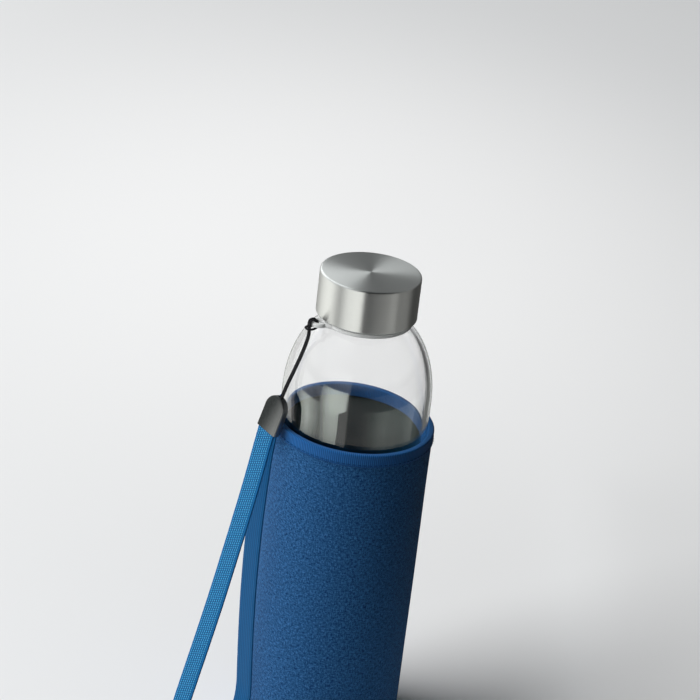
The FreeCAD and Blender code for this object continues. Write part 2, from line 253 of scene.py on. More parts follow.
class Finish:
    """A material with one Principled shader. Constants are set on its own sockets."""

    def __init__(self, name, **constants):
        self.material = bpy.data.materials.new(name)
        self.material.use_nodes = True
        self.tree = self.material.node_tree
        self.shader = self.tree.nodes["Principled BSDF"]
        for label, value in constants.items():
            socket = label.replace("_", " ").title().replace("Ior", "IOR")
            self.shader.inputs[socket].default_value = value

    def add(self, kind, settings, values, output=0):
        """A node of any kind: its settings first, then a value or link for each socket."""
        node = self.tree.nodes.new("ShaderNode" + kind)
        for label, value in settings.items():
            setattr(node, label, value)
        pairs = values.items() if isinstance(values, dict) else enumerate(values)
        for label, value in pairs:
            if isinstance(value, Wire):
                self.tree.links.new(value.socket, node.inputs[label])
            elif value is not None:
                node.inputs[label].default_value = value
        return Wire(self, node.outputs[output])

    def coordinates(self, output):
        """The three numbers of Object coordinates or of the UV map, each as a wire."""
        source = self.add("TexCoord", {}, {}, output)
        split = self.add("SeparateXYZ", {}, [source]).socket.node
        return [Wire(self, socket) for socket in split.outputs]

    def vector(self, x, y, z=0.0):
        return self.add("CombineXYZ", {}, [x, y, z])

    def noise(self, place, detail=2.0, roughness=0.5):
        return self.add("TexNoise", {}, {"Vector": place, "Scale": 1.0, "Detail": detail,
                                         "Roughness": roughness})

    def ramp(self, factor, *stops):
        """A colour that follows factor through stops of (place, colour)."""
        node = self.add("ValToRGB", {}, [factor]).socket.node
        while len(node.color_ramp.elements) < len(stops):
            node.color_ramp.elements.new(0.5)
        for element, (place, colour) in zip(node.color_ramp.elements, stops):
            element.position = place
            element.color = (*colour, 1.0)
        return Wire(self, node.outputs[0])

    def mix(self, factor, first, second):
        """Between two colours, each a wire or three numbers."""
        node = self.tree.nodes.new("ShaderNodeMix")
        node.data_type = "RGBA"
        for socket, value in zip((node.inputs[0], node.inputs[6], node.inputs[7]),
                                 (factor, first, second)):
            if isinstance(value, Wire):
                self.tree.links.new(value.socket, socket)
            else:
                socket.default_value = (*value, 1.0) if isinstance(value, tuple) else value
        return Wire(self, node.outputs[2])

    def bump(self, height, depth):
        """Relief of depth metres for a height from 0 to 1."""
        self.feed("Normal", self.add("Bump", {}, {"Strength": 1.0, "Distance": depth,
                                                  "Height": height}))

    def feed(self, label, wire):
        self.tree.links.new(wire.socket, self.shader.inputs[label])

    def plain(self):
        """The Principled shader itself, to be added to another shader or mixed with it."""
        return Wire(self, self.shader.outputs[0])

    def show(self, shader):
        """Makes another shader the one that is seen."""
        output = self.tree.nodes["Material Output"]
        self.tree.links.new(shader.socket, output.inputs["Surface"])

    def on(self, *pieces):
        for piece in pieces:
            piece.data.materials.clear()
            piece.data.materials.append(self.material)


cord_line = evenly(smooth_route("cord_line", about_axis(CORD_ROUTE, EYELET_TURN)), 900)


def braided_tube(line, thickness, strands, lay):
    """Round a line: radius = half thickness x (0.93 + 0.07 x the larger of two waves that
    wind left and right round it, strands of them, one turn in every lay metres)."""
    side, other = frames(line)
    turn = np.linspace(0.0, 2 * np.pi, 17)[:-1]
    travel = along(line)[:, None] * 2 * np.pi / lay
    left = np.cos(strands * turn + travel)
    right = np.cos(strands * turn - travel)
    radius = thickness / 2 * (0.93 + 0.07 * np.maximum(left, right))[..., None]
    ring = side[:, None] * np.cos(turn)[:, None] + other[:, None] * np.sin(turn)[:, None]
    return line[:, None] + ring * radius, turn, along(line)


cord_grid, cord_turn, cord_travel = braided_tube(cord_line, CORD_THICKNESS,
                                                  CORD_STRANDS, CORD_LAY)
cord_uv = np.meshgrid(cord_turn / (2 * np.pi), cord_travel)
cord = surface("lanyard_braid", cord_grid, uv=cord_uv, ends=True)

cord_finish = Finish("braided_black_cord", roughness=0.7, specular_ior_level=0.08)
around, travelled, _ = cord_finish.coordinates("UV")
turns = around * CORD_STRANDS + travelled * (1 / CORD_LAY)
strands = (turns.part() - 0.5).clear(-0.3, 0.3)
cord_finish.feed("Base Color", cord_finish.mix(strands, (0.004, 0.004, 0.005),
                                               (0.022, 0.022, 0.024)))
cord_finish.bump(strands, 0.00004)
cord_finish.on(cord)

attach(cord, "lanyard")
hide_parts("lanyard_cord")

# The knot is inside the clip. It keeps its own shape and takes the cord's finish.
cord_finish.on(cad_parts["cord_knot"])


# ---- Wrist strap -----------------------------------------------------------------------
# Flat woven webbing, ten millimetres wide. Both ends are pressed side by side into the
# clip, and the loop hangs from it in one upright plane that turns away from the bottle.

STRAP_WIDTH = 0.0098
STRAP_THICKNESS = 0.0012
STRAP_TURN = math.radians(225.0)
CLIP_FOOT = (-0.0354, -0.0189)
STRAP_COLUMNS = 7
STRAP_PICK = 0.00105
STRAP_BODY = 0.84      # share of the width between the two selvedges
INNER_FACE = 4.0       # added to the UV map's first number on the face that turns inwards
STRAP_ROUTE = [
    (-0.00185, 0.1586),
    (0.00010, 0.1490),
    (0.00150, 0.1280),
    (0.00230, 0.1020),
    (0.00190, 0.0730),
    (0.00010, 0.0420),
    (-0.00220, 0.0145),
    (0.00600, 0.0033),
    (0.01960, 0.0001),
    (0.03200, 0.0064),
    (0.03740, 0.0192),
    (0.03020, 0.0430),
    (0.02090, 0.0735),
    (0.01350, 0.1010),
    (0.00660, 0.1275),
    (0.00175, 0.1495),
    (-0.00045, 0.1586),
]
strap_points = about_axis([(out, 0.0, height) for out, height in STRAP_ROUTE], STRAP_TURN)
strap_points = strap_points + np.array([*CLIP_FOOT, 0.0])
strap_line = evenly(smooth_route("strap_line", strap_points), 700)


def webbing(line, width, thickness, wide, columns):
    """Round a line: a flat oval, half width x |cos|^0.3 by half thickness x |sin|^0.3. Over
    the body its faces rise in columns by 0.16 of the thickness, as |sin(pi x column)|. Also
    how far across each point is, from -1 to 1, with INNER_FACE added on one face."""
    turn = np.linspace(0.0, 2 * np.pi, 121)[:-1]
    across = np.sign(np.cos(turn)) * np.abs(np.cos(turn)) ** 0.3
    through = np.sign(np.sin(turn)) * np.abs(np.sin(turn)) ** 0.3
    column = (across / STRAP_BODY + 1) / 2 * columns
    rib = np.where(np.abs(across) < STRAP_BODY, np.abs(np.sin(np.pi * column)), 0.35)
    through = through * (0.84 + 0.16 * rib)
    wide = np.broadcast_to(wide, line.shape)
    thin = unit(np.cross(directions(line), wide))
    grid = (line[:, None] + wide[:, None] * (across * width / 2)[:, None]
            + thin[:, None] * (through * thickness / 2)[:, None])
    return grid, np.where(through > 0, across + INNER_FACE, across)


strap_wide = unit(about_axis(np.array([0.0, 1.0, 0.0]), STRAP_TURN))
strap_grid, strap_across = webbing(strap_line, STRAP_WIDTH, STRAP_THICKNESS, strap_wide,
                                   STRAP_COLUMNS)
strap_uv = np.meshgrid(strap_across, along(strap_line))
strap = surface("wrist_webbing", strap_grid, uv=strap_uv, ends=True)

strap_finish = Finish("woven_blue_webbing", roughness=0.6, sheen_weight=0.05,
                      specular_ior_level=0.06)
side, travelled, _ = strap_finish.coordinates("UV")
inner_face = side > INNER_FACE / 2
across = side - inner_face * INNER_FACE
column = (across * (1 / STRAP_BODY) + 1.0) * (STRAP_COLUMNS / 2)
ridge = 1.0 - abs(column.part() - 0.5) * 2
whole = column - column.part()
pick = (travelled * (1 / STRAP_PICK) + whole * 0.5).part()
dash = ridge.clear(0.12, 0.60) * (1.0 - abs(pick - 0.45) * 2).clear(0.02, 0.55)
selvedge = abs(across).clear(STRAP_BODY - 0.02, STRAP_BODY + 0.02)
fibre = strap_finish.noise(strap_finish.vector(across * 40, travelled * 900), 3.0)
stitch = dash * (1.0 - selvedge) * (1.0 - inner_face)
cloth = strap_finish.mix(stitch, (0.002, 0.050, 0.155), (0.040, 0.280, 0.520))
cloth = strap_finish.mix(selvedge, cloth, (0.004, 0.100, 0.26))
# Painted shade: on the inner face the grooves between the ribs are painted darker.
painted_groove_shade = inner_face * (1.0 - ridge.clear(0.0, 0.5)) * 0.8
cloth = strap_finish.mix(inner_face, cloth, (0.007, 0.088, 0.218))
cloth = strap_finish.mix(painted_groove_shade, cloth, (0.001, 0.024, 0.080))
cloth = strap_finish.mix(fibre * 0.35, cloth, (0.003, 0.050, 0.18))
strap_finish.feed("Base Color", cloth)
strap_finish.bump(stitch + fibre * 0.3, 0.00022)
strap_finish.on(strap)

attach(strap, "lanyard")
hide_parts("wrist_strap")


# ---- Cord clip -------------------------------------------------------------------------
# A pressed end clip with an arched top, plated a dark gunmetal and crimped on the strap. The
# cord comes out of a slot in its top, and the knot inside can't pull through.

clip_finish = Finish("gunmetal_plating", metallic=1.0, roughness=0.34)
x, y, z = clip_finish.coordinates("Object")
grain = clip_finish.noise(clip_finish.vector(x * 900, y * 900, z * 900), 3.0)
# Painted light: the base colour is painted lighter along a fixed slant across the clip, a painted
# highlight on its lit side.
painted_side_light = ((x - y) * 118 + z * -60 + 11.35).clear(-0.7, 1.5)
clip_finish.feed("Base Color", clip_finish.mix(painted_side_light * 0.85 + grain * 0.15,
                                               (0.016, 0.019, 0.020), (0.230, 0.235, 0.240)))
clip_finish.feed("Roughness", grain * 0.12 + 0.28)
clip_finish.bump(grain, 0.00001)
clip_finish.on(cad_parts["cord_clip"])


# ---- Floor and light -------------------------------------------------------------------
# A seamless pale floor and one large soft light on the left. Cards that only mirrored rays
# meet stand round the bottle: a ring for the polished pieces and a nearer one for the glass.

FLOOR_SIZE = 12.0
FLOOR_DROP = 0.0002
LIGHT_POOL_CENTRE = 0.62
KEY_PLACE = (-2.8, -0.45, 2.4)
KEY_TARGET = (0.0, 0.7, 0.0)
KEY_SIZE = 3.4
KEY_POWER = 240.0
ROOM_COLOUR = (0.88, 0.95, 1.0, 1.0)
ROOM_LEVEL = 0.12

floor_x, floor_y = np.meshgrid(*[np.linspace(-FLOOR_SIZE / 2, FLOOR_SIZE / 2, 2)] * 2)
floor = surface("floor", np.stack([floor_x, floor_y, floor_x * 0 - FLOOR_DROP], -1), wrap=False)
floor_finish = Finish("pale_floor", roughness=1.0, specular_ior_level=0.0)
x, y, _ = floor_finish.coordinates("Object")
# Painted light: the floor's colour is painted brighter round a spot behind the bottle and darker
# away from it, a painted pool of light.
from_light_pool = (x * x + (y - LIGHT_POOL_CENTRE) * (y - LIGHT_POOL_CENTRE) * 0.5) ** 0.5
floor_finish.feed("Base Color", floor_finish.mix(from_light_pool.clear(0.05, 0.42), (0.92, 0.918, 0.915),
                                                 (0.78, 0.783, 0.784)))
floor_finish.on(floor)
if floor.data.polygons[0].normal.z < 0:
    floor.data.flip_normals()

key_lamp = bpy.data.lights.new("key_light", "AREA")
key_lamp.shape = "SQUARE"
key_lamp.size = KEY_SIZE
key_lamp.energy = KEY_POWER
key_light = bpy.data.objects.new("key_light", key_lamp)
bpy.context.scene.collection.objects.link(key_light)
key_light.location = KEY_PLACE
key_aim = Vector(KEY_TARGET) - Vector(KEY_PLACE)
key_light.rotation_euler = key_aim.to_track_quat("-Z", "Y").to_euler()
for ray in ("camera", "glossy", "transmission"):
    setattr(key_light, "visible_" + ray, False)

# The strap throws no shadow of this light on the sleeve.
unshaded = bpy.data.collections.new("casts_no_key_shadow")
unshaded.objects.link(strap)
unshaded.collection_objects[0].light_linking.link_state = "EXCLUDE"
key_light.light_linking.blocker_collection = unshaded

world = bpy.data.worlds.new("room")
world.use_nodes = True
world.node_tree.nodes["Background"].inputs["Color"].default_value = ROOM_COLOUR
world.node_tree.nodes["Background"].inputs["Strength"].default_value = ROOM_LEVEL
bpy.context.scene.world = world

# Brightness by degrees round the bottle, from the camera's side towards its right: of the
# cards that the cap's side mirrors, of those above that its top mirrors, and of the windows
# and walls that the glass mirrors.
CAP_SIDE_LEVELS = [
    (0.0, 0.06), (8.0, 0.08), (20.0, 0.16), (44.0, 0.30), (62.0, 0.50), (70.0, 0.24),
    (98.0, 0.26), (114.0, 0.06), (180.0, 0.10), (226.0, 0.70), (240.0, 1.15), (262.0, 1.45),
    (276.0, 1.35), (290.0, 0.72), (299.0, 0.50), (306.0, 0.80), (316.0, 1.25), (336.0, 1.50),
    (350.0, 1.50), (352.0, 0.10), (360.0, 0.06),
]
CAP_TOP_LEVELS = [
    (0.0, 0.02), (70.0, 0.02), (86.0, 0.25), (180.0, 0.25), (188.0, 0.42), (195.0, 2.2),
    (226.0, 2.2), (240.0, 0.9), (310.0, 0.9), (332.0, 0.5), (350.0, 0.02), (360.0, 0.02),
]
GLASS_LEVELS = [
    (0.0, 0.0), (12.0, 0.1), (27.0, 0.6), (36.0, 1.3), (46.0, 1.6), (54.0, 1.0), (75.0, 0.9),
    (87.0, 1.1), (100.0, 0.6), (112.0, 0.2), (262.0, 0.2), (270.0, 1.5), (277.0, 3.6),
    (288.0, 6.2), (299.0, 4.2), (308.0, 1.8), (312.0, 3.4), (318.0, 6.8), (327.0, 10.0),
    (346.0, 8.6), (350.0, 0.2), (360.0, 0.0),
]
MIRROR_DISTANCE = 0.25
MIRROR_GLOW = 4.0
GLASS_CARD_DISTANCE = 0.24
GLASS_CARD_GLOW = 12.0
CARD_BOTTOM = 0.001
CARD_TOP = 0.80
BLACK = (0.0, 0.0, 0.0)


def card_finish(name, **glow):
    """Dead black, apart from what it is told to glow."""
    return Finish(name, base_color=(*BLACK, 1.0), roughness=1.0, specular_ior_level=0.0, **glow)


def seen_only_by(card, seen):
    """Hides a card from every kind of ray but one."""
    for ray in ("camera", "diffuse", "glossy", "transmission", "shadow", "volume_scatter"):
        setattr(card, "visible_" + ray, ray == seen)


def card_ring(name, distance, glow, light):
    """An upright cylinder: distance x (sin, -cos) of the angle, by height. light gives its
    colour from the finish, the share of a turn and the height, and glow its strength."""
    angle, height = np.meshgrid(np.radians(np.arange(360)),
                                np.linspace(CARD_BOTTOM, CARD_TOP, 12))
    grid = np.stack([np.sin(angle) * distance, -np.cos(angle) * distance, height], -1)
    ring = surface(name, grid, uv=(angle / (2 * np.pi), height))
    finish = card_finish(name + "_glow", emission_strength=glow)
    turn, rise, _ = finish.coordinates("UV")
    finish.feed("Emission Color", light(finish, turn, rise))
    finish.on(ring)
    seen_only_by(ring, "glossy")
    return ring, finish


def levels(finish, turn, stops, glow, tint):
    """A tinted brightness that follows stops of (degrees, level), as a share of glow."""
    return finish.ramp(turn, *[(angle / 360.0, tuple(level / glow * t for t in tint))
                               for angle, level in stops])


def mirror_light(finish, turn, rise):
    """The side's levels low down, which blend into the top's between 24 and 30 cm up."""
    return finish.mix(rise.clear(0.24, 0.30),
                      levels(finish, turn, CAP_SIDE_LEVELS, MIRROR_GLOW, (1.0, 1.01, 0.96)),
                      levels(finish, turn, CAP_TOP_LEVELS, MIRROR_GLOW, (0.96, 1.0, 1.0)))


def window_light(finish, turn, rise):
    """Windows and walls that dim towards the floor and end at a sill above. The brightest
    window reaches higher than the rest, and its right side is cut back low down."""
    light = levels(finish, turn, GLASS_LEVELS, GLASS_CARD_GLOW, (0.90, 1.0, 0.91))
    bright_window = turn > 0.857
    sill = bright_window * 0.065 + 0.122
    right_side = rise.clear(0.098, 0.124) * 0.034 + 0.939
    light = finish.mix(0.5 - rise.clear(0.044, 0.062) * 0.5, light, BLACK)
    light = finish.mix(bright_window * (0.35 - rise.clear(0.075, 0.120) * 0.35), light, BLACK)
    light = finish.mix((rise - sill).clear(-0.005, 0.005), light, BLACK)
    light = finish.mix((turn - right_side).clear(-0.002, 0.002), light, BLACK)
    return finish.mix(rise.clear(0.195, 0.235), light, (0.080, 0.081, 0.081))


card_ring("mirror_cards", MIRROR_DISTANCE, MIRROR_GLOW, mirror_light)

# The nearer ring adds its light to what is behind it, and only the glass mirrors it.
glass_cards, window_finish = card_ring("glass_cards", GLASS_CARD_DISTANCE, GLASS_CARD_GLOW,
                                       window_light)
window_finish.show(window_finish.add("AddShader", {}, [
    window_finish.plain(), window_finish.add("BsdfTransparent", {}, {})]))
glass_only = bpy.data.collections.new("glass_only")
glass_cards.light_linking.receiver_collection = glass_only

# Grey cards behind, one on each side, which only show through the glass, draw its edges.
for side, grey in ((-1.0, 0.66), (1.0, 0.12)):
    angle, height = np.meshgrid(np.radians(np.linspace(28.0, 80.0, 14)) * side,
                                np.linspace(CARD_BOTTOM, 0.30, 2))
    card = surface("edge_card", np.stack([np.sin(angle) * 0.2, np.cos(angle) * 0.2, height],
                                         -1), wrap=False)
    card_finish("edge_grey", emission_color=(grey, grey, grey, 1.0), emission_strength=1.0).on(card)
    seen_only_by(card, "transmission")

# A black card close by on the right soaks up light that the floor would throw back.
flag_y, flag_z = np.meshgrid(np.linspace(-0.22, 0.26, 2), np.linspace(0.04, 0.30, 2))
flag = surface("black_flag", np.stack([flag_y * 0 + 0.12, flag_y, flag_z], -1), wrap=False)
card_finish("black_card").on(flag)
seen_only_by(flag, "diffuse")


# ---- Strap ring ------------------------------------------------------------------------
# A swivel ring moulded in translucent grey plastic, loose on the neck under the cap. Its
# eyelet carries the cord.

ring_finish = Finish("translucent_ring_plastic", roughness=0.30, ior=1.46,
                     transmission_weight=0.25)
x, y, z = ring_finish.coordinates("Object")
cloud = ring_finish.noise(ring_finish.vector(x * 300, y * 300, z * 300))
ring_finish.feed("Base Color", ring_finish.mix(cloud, (0.74, 0.75, 0.74),
                                               (0.84, 0.85, 0.84)))
ring_finish.bump(cloud, 0.00003)
ring_finish.on(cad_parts["strap_ring"])


# ---- Glass bottle ----------------------------------------------------------------------
# Clear moulded glass with a straight side, an elliptical shoulder, a threaded neck and a
# pushed-up base. It stands loose in the sleeve.

GLASS_RADIUS = 0.0320
GLASS_WALL = 0.0022
SHOULDER_START = 0.1665
SHOULDER_WIDTH = 0.0220
SHOULDER_HEIGHT = 0.0364
NECK_RADIUS = 0.0170
MOUTH_RADIUS = 0.0145
THREAD_LEAD = 0.008
THREAD_STARTS = 2
THREAD_TURNS = 1.1
THREAD_HEIGHT = 0.0012
THREAD_HALF_FOOT = 0.0009
THREAD_BOTTOM = 0.2066
FOOT_RADIUS = 0.0215
BASE_CORNER = 0.0056
BASE_THICKNESS = 0.0055
PUSH_UP = 0.0026

glass_low, glass_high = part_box("glass_body")


def outline(corners, spacing=0.0004):
    """An outline through (radius, height, rounding) corners, each corner an arc of that
    radius that touches both of its sides. Straight stretches get a point every spacing."""
    corners = np.asarray(corners, float)
    place, rounding = corners[:, :2], corners[:, 2]
    made = [place[:1]]
    for k in range(1, len(corners) - 1):
        back, forward = unit(place[k - 1] - place[k]), unit(place[k + 1] - place[k])
        half = (math.pi - math.acos(np.clip(back @ forward, -1.0, 1.0))) / 2
        reach = rounding[k] * math.tan(half)
        centre = place[k] + unit(back + forward) * rounding[k] / math.cos(half)
        start, end = place[k] + back * reach - centre, place[k] + forward * reach - centre
        share = np.linspace(0.0, 1.0, max(2, int(half * 12)))[:, None]
        bend = start * np.sin((1 - share) * 2 * half) + end * np.sin(share * 2 * half)
        made.append(centre + bend / math.sin(2 * half))
    made.append(place[-1:])
    joined = np.concatenate(made)
    s = along(joined)
    keep = np.r_[True, np.diff(s) > 1e-8]
    joined, s = joined[keep], s[keep]
    extra = [np.linspace(a, b, max(2, int((b - a) / spacing) + 1))[1:-1]
             for a, b in zip(s, s[1:])]
    steps = np.sort(np.concatenate([s, *extra]))
    return np.stack([np.interp(steps, s, joined[:, k]) for k in range(2)], -1)


def shoulder(radius, width, height, neck, count):
    """Radius and height along the ellipse: centre radius + width x cos, start + height x sin,
    from the straight side up to the neck's radius."""
    last = math.acos((neck - (radius - width)) / width)
    turn = np.linspace(0.0, last, count)
    return np.stack([radius - width + width * np.cos(turn),
                     SHOULDER_START + height * np.sin(turn)], -1)


def turned(profile, sectors):
    """The surface that (radius, height) sweeps about the bottle's axis, and its angles."""
    angle = np.linspace(0.0, 2 * np.pi, sectors + 1)[:-1]
    radius, height = profile[:, :1], profile[:, 1:]
    grid = np.stack([radius * np.cos(angle), radius * np.sin(angle),
                     height + angle * 0], -1)
    return grid, angle


def thread(angle, height):
    """How far a ridge stands at each angle and height, from 0 to 1: helices that climb
    THREAD_LEAD a turn, each a rounded ridge that fades in and out at its ends."""
    rise = np.zeros(np.broadcast(angle, height).shape)
    fade = 0.35
    for start in range(THREAD_STARTS):
        for lap in range(-1, 3):
            travelled = angle - 2 * np.pi * start / THREAD_STARTS + 2 * np.pi * lap
            left = 2 * np.pi * THREAD_TURNS - travelled
            offset = height - THREAD_BOTTOM - THREAD_LEAD * travelled / (2 * np.pi)
            ridge = np.clip(1.25 - np.abs(offset) / THREAD_HALF_FOOT, 0.0, 1.0)
            ends = np.clip(travelled / fade, 0, 1) * np.clip(left / fade, 0, 1)
            rise = np.maximum(rise, ridge * ridge * (3 - 2 * ridge) * np.sqrt(ends))
    return rise


def glass_outline():
    """Up the outside from the middle of the base, over the lip and down the inside."""
    bottom, lip = glass_low.z, glass_high.z
    outside = shoulder(GLASS_RADIUS, SHOULDER_WIDTH, SHOULDER_HEIGHT, NECK_RADIUS + 0.0004, 48)
    inside = shoulder(GLASS_RADIUS - GLASS_WALL, SHOULDER_WIDTH - GLASS_WALL,
                      SHOULDER_HEIGHT - GLASS_WALL, MOUTH_RADIUS + 0.0004, 48)[::-1]
    base = outline([(0, bottom + PUSH_UP, 0), (0.014, bottom + 0.0019, 0.02),
                    (FOOT_RADIUS, bottom, 0.0012), (GLASS_RADIUS, bottom, BASE_CORNER),
                    (GLASS_RADIUS, SHOULDER_START, 0)], 0.004)
    neck = outline([tuple(outside[-1]) + (0,), (NECK_RADIUS, outside[-1, 1] + 0.0007, 0.0006),
                    (NECK_RADIUS, lip, 0.0010), (MOUTH_RADIUS, lip, 0.0010),
                    (MOUTH_RADIUS, inside[0, 1] + 0.0012, 0.0008), tuple(inside[0]) + (0,)],
                   0.00025)
    wall = GLASS_RADIUS - GLASS_WALL
    well = bottom + BASE_THICKNESS
    floor_outline = outline([(wall, SHOULDER_START, 0), (wall, well, BASE_CORNER),
                             (0.014, well + 0.0012, 0.02), (0, well + PUSH_UP, 0)], 0.004)
    parts = [base[:-1], outside[:-1], neck[:-1], inside[:-1], floor_outline]
    profile = np.concatenate(parts)
    return profile[np.r_[True, np.linalg.norm(np.diff(profile, axis=0), axis=1) > 1e-7]]


glass_profile = glass_outline()
glass_grid, glass_angle = turned(glass_profile, 256)
on_neck = np.abs(glass_profile[:, :1] - NECK_RADIUS) < 1e-5
stand = thread(glass_angle[None], glass_profile[:, 1:]) * THREAD_HEIGHT * on_neck
glass_grid[..., :2] *= (1 + stand / np.maximum(glass_profile[:, :1], 1e-6))[..., None]
glass_uv = (np.broadcast_to(glass_angle / (2 * np.pi), stand.shape),
            np.broadcast_to(along(glass_profile)[:, None], stand.shape))
glass = surface("glass_bottle", glass_grid, uv=glass_uv)

glass_finish = Finish("clear_glass", base_color=(1.0, 1.0, 1.0, 1.0), roughness=0.0,
                      ior=1.46, transmission_weight=1.0)

# Glass throws only a faint shadow, so it lets the light's own rays straight through.
lamp_ray = glass_finish.add("LightPath", {}, {}, "Is Shadow Ray")
faint_grey = glass_finish.add("BsdfTransparent", {}, {"Color": (0.93, 0.95, 0.945, 1.0)})
glass_finish.show(glass_finish.add("MixShader", {}, [lamp_ray, glass_finish.plain(),
                                                     faint_grey]))
glass_finish.on(glass)
glass_only.objects.link(glass)
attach(glass, "bottle")
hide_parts("glass_body")


# ---- Cap shell -------------------------------------------------------------------------
# A cap pressed from half-millimetre stainless sheet, its rim rolled in under the liner.
# Its top and side are brushed on a lathe, so every scratch runs round the axis.

cap_low, cap_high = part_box("cap_shell")
CAP_RADIUS = cap_high.x
CAP_SHEET = 0.0005
CAP_EDGE_ROUND = 0.0008
CAP_CURL = 0.0010


def cap_outline():
    """From the middle of the top, down the outside, round the rolled rim and back inside."""
    low, high = cap_low.z, cap_high.z
    inner, curl = CAP_RADIUS - CAP_SHEET, CAP_RADIUS - CAP_CURL
    return outline([(0, high, 0), (CAP_RADIUS, high, CAP_EDGE_ROUND),
                    (CAP_RADIUS, low, 0.00045), (curl, low, 0.0002),
                    (curl, low + CAP_SHEET, 0.0002),
                    (inner, low + CAP_SHEET, 0.0001), (inner, high - CAP_SHEET, 0.0004),
                    (0, high - CAP_SHEET, 0)], 0.0008)


cap_grid, _ = turned(cap_outline(), 256)
cap = surface("steel_cap", cap_grid)

steel = Finish("brushed_stainless", metallic=1.0, anisotropic=0.96, anisotropic_rotation=0.25)
x, y, z = steel.coordinates("Object")
radius = (x * x + y * y) ** 0.5
turning = steel.noise(steel.vector(radius * 9000, z * 9000), 2.0, 0.6)
fine = steel.noise(steel.vector(radius * 26000, z * 26000), 1.0)
lines = turning * 0.6 + fine * 0.4
steel.feed("Base Color", steel.mix(lines, (0.50, 0.505, 0.50), (0.72, 0.725, 0.715)))
steel.feed("Roughness", lines * 0.16 + 0.22)
steel.bump(lines, 0.000012)
steel.on(cap)
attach(cap, "cap")
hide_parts("cap_shell")


# ---- Cap liner and seal ----------------------------------------------------------------
# The liner is a moulded plastic insert with the female thread, pressed into the shell.
# The seal is a flat silicone ring that closes on the glass lip.

liner_finish = Finish("moulded_liner_plastic", roughness=0.42, ior=1.49)
x, y, z = liner_finish.coordinates("Object")
mottle = liner_finish.noise(liner_finish.vector(x * 220, y * 220, z * 220), 4.0)
liner_finish.feed("Base Color", liner_finish.mix(mottle, (0.70, 0.71, 0.69),
                                                 (0.80, 0.80, 0.78)))
liner_finish.feed("Roughness", mottle * 0.2 + 0.34)
liner_finish.bump(mottle, 0.00002)
liner_finish.on(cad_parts["cap_liner"])

seal_finish = Finish("milky_silicone", roughness=0.55, ior=1.41)
x, y, z = seal_finish.coordinates("Object")
haze = seal_finish.noise(seal_finish.vector(x * 400, y * 400, z * 400), 3.0)
seal_finish.feed("Base Color", seal_finish.mix(haze, (0.74, 0.75, 0.74), (0.84, 0.85, 0.84)))
seal_finish.bump(haze, 0.00002)
seal_finish.on(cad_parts["cap_seal"])


# ---- Sleeve ----------------------------------------------------------------------------
# A tube of padded cloth: a heathered canvas cover, thin foam and a dark knitted lining,
# laminated together, with a sewn-in base. It grips the bottle by its stretch.

cover_low, cover_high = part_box("sleeve_cover")
lining_low, lining_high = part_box("sleeve_lining")
foam_low, foam_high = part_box("sleeve_foam")
COVER_THICKNESS = 0.00045
LINING_THICKNESS = 0.0003
FOAM_THICKNESS = 0.00085
RIM_SLOPE = -0.033
SLOPE_BOTTOM = 0.090
SLOPE_REACH = 0.060
SWELL = 0.00006
SWELL_TOP = 0.149


def settled(grid):
    """Cloth that has settled on the bottle: its top slopes down to the right by RIM_SLOPE x x,
    and the wall swells and dips by the sum of two slow sine waves."""
    x, y, z = grid[..., 0], grid[..., 1], grid[..., 2]
    share = np.clip((z - SLOPE_BOTTOM) / SLOPE_REACH, 0.0, 1.0)
    share = share * share * (3 - 2 * share)
    angle = np.arctan2(y, x)
    swell = (np.sin(3 * angle + z * 38) + np.sin(5 * angle - z * 61 + 1.0)) * SWELL
    inside = np.clip(z / 0.01, 0.0, 1.0) * np.clip((SWELL_TOP - z) / 0.02, 0.0, 1.0)
    radius = np.maximum(np.hypot(x, y), 1e-9)
    factor = 1 + swell * inside / radius * (radius > 0.03)
    return np.stack([x * factor, y * factor, z + RIM_SLOPE * x * share], -1)


def cloth_tube(name, radius, thickness, bottom, top, sectors):
    """A closed wall of cloth, out at radius, its edges rounded to nearly half its thickness,
    turned about the axis and settled. Its UV map is the arc length and the height."""
    edge = thickness * 0.45
    profile = outline([(radius - thickness / 2, top, 0), (radius, top, edge),
                       (radius, bottom, edge), (radius - thickness, bottom, edge),
                       (radius - thickness, top, edge), (radius - thickness / 2, top, 0)],
                      0.0025)
    grid, angle = turned(profile, sectors)
    shape = grid.shape[:2]
    uv = (np.broadcast_to(angle * radius, shape), np.broadcast_to(profile[:, 1:], shape))
    return surface(name, settled(grid), uv=uv)


cover = cloth_tube("canvas_cover", cover_high.x, COVER_THICKNESS, cover_low.z, cover_high.z,
                   256)
foam = cloth_tube("sleeve_padding", foam_high.x, FOAM_THICKNESS, foam_low.z, foam_high.z, 128)
lining = cloth_tube("knitted_lining", lining_high.x, LINING_THICKNESS, lining_low.z,
                    lining_high.z, 256)

# Plain-woven canvas. Each yarn is dyed unevenly along its length, and the crossings rise
# and fall as the product of two waves.
YARN = 0.00045
cover_finish = Finish("heathered_canvas", roughness=0.9, specular_ior_level=0.0,
                      sheen_weight=0.14, sheen_roughness=0.4, sheen_tint=(0.62, 0.78, 1.0, 1.0))
u, v, _ = cover_finish.coordinates("UV")
warp_wave = (u * (math.pi / YARN)).wave() - 0.5
weft_wave = (v * (math.pi / YARN)).wave() - 0.5
warp = cover_finish.noise(cover_finish.vector(u * (0.95 / YARN), v * (0.26 / YARN)), 3.0, 0.7)
weft = cover_finish.noise(cover_finish.vector(u * (0.26 / YARN), v * (0.95 / YARN), 7.0),
                          3.0, 0.7)
patch = cover_finish.noise(cover_finish.vector(u * 1100, v * 1100, 3.0), 3.0, 0.6)
weave = warp_wave * weft_wave * 2 + 0.5
heather = (warp * 0.40 + weft * 0.38 + patch * 0.22).clear(0.38, 0.66)
heather_colour = cover_finish.mix(heather, (0.002, 0.024, 0.090), (0.050, 0.188, 0.425))
